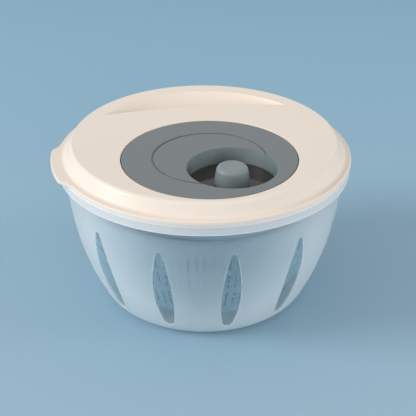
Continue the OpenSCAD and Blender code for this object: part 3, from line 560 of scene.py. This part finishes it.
# One shape from two, neither of which is kept
def combined(bm, other, operation):
    objects = []
    for name, shape in (("kept", bm), ("tool", other)):
        mesh = bpy.data.meshes.new(name)
        shape.to_mesh(mesh)
        shape.free()
        objects.append(bpy.data.objects.new(name, mesh))
        bpy.context.scene.collection.objects.link(objects[-1])
    change = objects[0].modifiers.new("change", "BOOLEAN")
    change.operation = operation
    change.object = objects[1]
    change.solver = "EXACT"
    graph = bpy.context.evaluated_depsgraph_get()
    result = bmesh.new()
    result.from_mesh(objects[0].evaluated_get(graph).to_mesh())
    for piece in objects:
        bpy.data.objects.remove(piece)
    return result


def moved(bm, x, y):
    bmesh.ops.translate(bm, verts=bm.verts, vec=(x, y, 0))
    return bm


lid = {
    "flangeTop": 0.1321, "foot": 0.1196, "lean": 1.2, "slope": 62,
    "footRound": 0.004, "sunk": 0.00003, "buried": 0.0008, "steps": 240,
}


# Fillet ring for the shoulder's foot, which lies further out behind than in front, because
# the shoulder leans. It is sunk a hair into both faces and fills what lies behind them
def footRing():
    slope, rounding, deep = math.radians(lid["slope"]), lid["footRound"], lid["buried"]
    reach = rounding / math.tan((math.pi - slope) / 2)
    section = arc((reach, rounding), rounding, 270 - lid["slope"], 270, 8)
    section += [(reach, -deep), (-deep, -deep),
                (-reach * math.cos(slope) - deep * math.sin(slope),
                 reach * math.sin(slope) - deep * math.cos(slope)), section[0]]
    bm = spunProfile([(lid["foot"] + x - lid["sunk"], lid["flangeTop"] + z - lid["sunk"])
                      for x, z in section], lid["steps"])
    share = math.tan(math.radians(lid["lean"])) / math.tan(slope)
    for vert in bm.verts:
        vert.co.xy *= 1 + share * vert.co.y / vert.co.xy.length
    return bm


# Lid shell: the shoulder's foot runs into the flange with a fillet
def makeLid():
    bm = combined(cadCopy("lid_shell"), footRing(), "UNION")
    piece = finishPiece("lid_body", bm, [cream], "lid", sharp=28)
    evenNormals(piece)
    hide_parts("lid_shell")


makeLid()
print("lid made")

discLow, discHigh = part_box("crank_disc")
tableLow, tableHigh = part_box("knob_turntable")
knobLow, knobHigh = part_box("finger_knob")
disc = {
    "middle": ((discLow[0] + discHigh[0]) / 2, (discLow[1] + discHigh[1]) / 2),
    "well": ((tableLow[0] + tableHigh[0]) / 2, (tableLow[1] + tableHigh[1]) / 2),
    "wellReach": 0.0381, "wellLow": knobLow[2] - 0.003, "wellHigh": discHigh[2] - 0.001,
    "top": discHigh[2], "groove": 0.04712, "grooveHalf": 0.0008, "grooveLip": 0.0008,
    "grooveDeep": 0.0012, "grooveRound": 0.0003, "cutOver": 0.001, "steps": 180,
}


# Crank disc: a groove with upright walls and rounded lips takes the place of the plain one
def makeDisc():
    ring, half, lip, deep = (disc[key] for key in ("groove", "grooveHalf", "grooveLip",
                                                   "grooveDeep"))
    rounding, top = disc["grooveRound"], disc["top"]
    low, over = top - deep, top + disc["cutOver"]
    section = ([(ring - half - lip, over)]
               + arc((ring - half - lip, top - lip), lip, 90, 0, 6)
               + arc((ring - half + rounding, low + rounding), rounding, 180, 270, 3)
               + arc((ring + half - rounding, low + rounding), rounding, 270, 360, 3)
               + arc((ring + half + lip, top - lip), lip, 180, 90, 6)
               + [(ring + half + lip, over), (ring - half - lip, over)])
    cutter = moved(spunProfile(section, disc["steps"]), *disc["middle"])
    bm = combined(cadCopy("crank_disc", flat=True), cutter, "DIFFERENCE")
    # The well's upright walls get the lighter, streaked finish: painted light and painted
    # highlight streaks
    well = Vector(disc["well"])
    for face in bm.faces:
        middle = face.calc_center_median()
        upright = abs(face.normal.z) < 0.5
        near = (middle.xy - well).length < disc["wellReach"]
        if near and upright and disc["wellLow"] < middle.z < disc["wellHigh"]:
            face.material_index = 1
    piece = finishPiece("crank_body", bm, [slate, wellWallPaintedLight], "crank", sharp=28)
    evenNormals(piece)
    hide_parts("crank_disc")


makeDisc()
print("disc made")

knob = {
    "base": 0.0149, "slope": 0.0126, "round": 0.0044, "capSeat": 0.008, "capDeep": 0.0013,
    "socket": 0.0061, "socketHigh": 0.00775, "edge": 0.00025, "steps": 120,
    "low": knobLow[2], "top": knobHigh[2],
}


# Knob: a tapered cup with a rounded top edge, a seat for its cap and a socket below
def makeKnob():
    low, top, base, rounding = (knob[key] for key in ("low", "top", "base", "round"))
    edge, seat, socket = (knob[key] for key in ("edge", "capSeat", "socket"))
    lean = math.atan((base - knob["slope"]) / (top - low))
    shoulder = top - rounding
    side = base - (shoulder - low) * math.tan(lean) - rounding / math.cos(lean)
    section = [(0, low + knob["socketHigh"]), (socket, low + knob["socketHigh"]), (socket, low),
               (base - edge, low), (base, low + edge)]
    section += arc((side, shoulder), rounding, math.degrees(lean), 90, 9)
    section += arc((seat + edge, top - edge), edge, 90, 180, 3)
    section += [(seat, top - knob["capDeep"]), (0, top - knob["capDeep"])]
    bm = moved(spunProfile(section, knob["steps"]), *disc["well"])
    piece = finishPiece("knob_body", bm, [knobPlastic], "knob")
    evenNormals(piece)
    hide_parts("finger_knob")


makeKnob()
print("knob made")

turntable = {
    "reach": (tableHigh[0] - tableLow[0]) / 2, "thick": 0.0016, "rim": 0.0003,
    "bead": 0.0005, "edge": 0.0002, "steps": 144,
    "spigot": 0.006, "spindle": 0.003, "hole": 0.0013, "holeDeep": 0.009,
    "low": tableLow[2], "top": knobLow[2], "spigotTop": tableHigh[2],
}


# Turntable: a glossy plate with a bead along its rim, the spindle below it and the knob's
# spigot above it
def makeTurntable():
    low, top, rim, reach, edge = (turntable[key] for key in ("low", "top", "rim", "reach", "edge"))
    spigot, spindle, hole, bead = (turntable[key] for key in ("spigot", "spindle", "hole", "bead"))
    under = top - turntable["thick"]
    section = [(0, low + turntable["holeDeep"]), (hole, low + turntable["holeDeep"]),
               (hole, low), (spindle - edge, low), (spindle, low + edge),
               (spindle, under), (reach - edge, under), (reach, under + edge)]
    section += arc((reach - rim, top - rim), rim, 0, 90, 3)
    section += arc((reach - rim - bead, top), bead, 0, 180, 8)
    section += [(spigot, top), (spigot, turntable["spigotTop"]), (0, turntable["spigotTop"])]
    bm = moved(spunProfile(section, turntable["steps"]), *disc["well"])
    piece = finishPiece("turntable_body", bm, [darkPlastic], "knob")
    evenNormals(piece)
    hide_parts("knob_turntable")


makeTurntable()
print("turntable made")

# Places and aims in metres as the camera looks. Only shine is mirrored in glossy surfaces
lamps = {
    "key": {"place": (-4.2, -0.8, 2.4), "aim": (0, 0, 0.1), "size": 2.4, "power": 49},
    "shine": {"place": (-4.2, -0.8, 2.4), "aim": (0, 0, 0.1), "size": 2.4, "power": 80},
    "low": {"place": (-3.4, -1.8, 0.5), "aim": (0, 0, 0.1), "size": 1.4, "power": 20},
    "fill": {"place": (4.0, -0.5, 0.9), "aim": (0, 0, 0.1), "size": 1.8, "power": 56},
    "front": {"place": (0.6, -3.4, 1.1), "aim": (0, -0.1, 0), "size": 2.0, "power": 21},
}


def addLamp(name, values):
    data = bpy.data.lights.new(name, "AREA")
    data.shape = "DISK"
    data.size = values["size"]
    data.energy = values["power"]
    piece = bpy.data.objects.new(name, data)
    bpy.context.scene.collection.objects.link(piece)
    piece.location = turned(values["place"], camera["turn"])
    aimAt(piece, turned(values["aim"], camera["turn"]))
    piece.visible_glossy = name == "shine"


for lampName, lampValues in lamps.items():
    addLamp(lampName, lampValues)

print("lamps placed")

sky = {"tint": (0.98, 0.98, 1.0, 1), "strength": 0.62}
world = bpy.data.worlds.new("world")
bpy.context.scene.world = world
world.use_nodes = True
world.node_tree.nodes["Background"].inputs["Color"].default_value = sky["tint"]
world.node_tree.nodes["Background"].inputs["Strength"].default_value = sky["strength"]

floor = {
    "size": 3, "near": (154, 184, 201), "far": (134, 175, 198), "blend": (-0.3, 0.8),
    "mottle": 6, "rough": (0.85, 0.95),
}


# Floor: matt, and a little deeper in colour further away
def floorPaint():
    mat, nodes, links, shader = newMaterial("floor")
    place = nodes.new("ShaderNodeTexCoord")
    mapping = nodes.new("ShaderNodeMapping")
    mapping.inputs["Rotation"].default_value = (0, 0, math.radians(-camera["turn"]))
    axes = nodes.new("ShaderNodeSeparateXYZ")
    links.new(place.outputs["Object"], mapping.inputs["Vector"])
    links.new(mapping.outputs["Vector"], axes.inputs["Vector"])
    deep = ranged(nodes, links, axes.outputs["Y"], floor["blend"], (0, 1))
    links.new(tinted(nodes, links, deep, floor["near"], floor["far"]),
              shader.inputs["Base Color"])
    cloud = noiseOf(nodes, links, floor["mottle"])
    links.new(spread(nodes, links, cloud, floor["rough"]), shader.inputs["Roughness"])
    return mat


def makeFloor():
    bm = bmesh.new()
    bmesh.ops.create_grid(bm, x_segments=1, y_segments=1, size=floor["size"])
    mesh = bpy.data.meshes.new("floor")
    bm.to_mesh(mesh)
    bm.free()
    mesh.materials.append(floorPaint())
    piece = bpy.data.objects.new("floor", mesh)
    bpy.context.scene.collection.objects.link(piece)


makeFloor()
bpy.context.scene.view_settings.view_transform = "Standard"
print("sky and floor made")
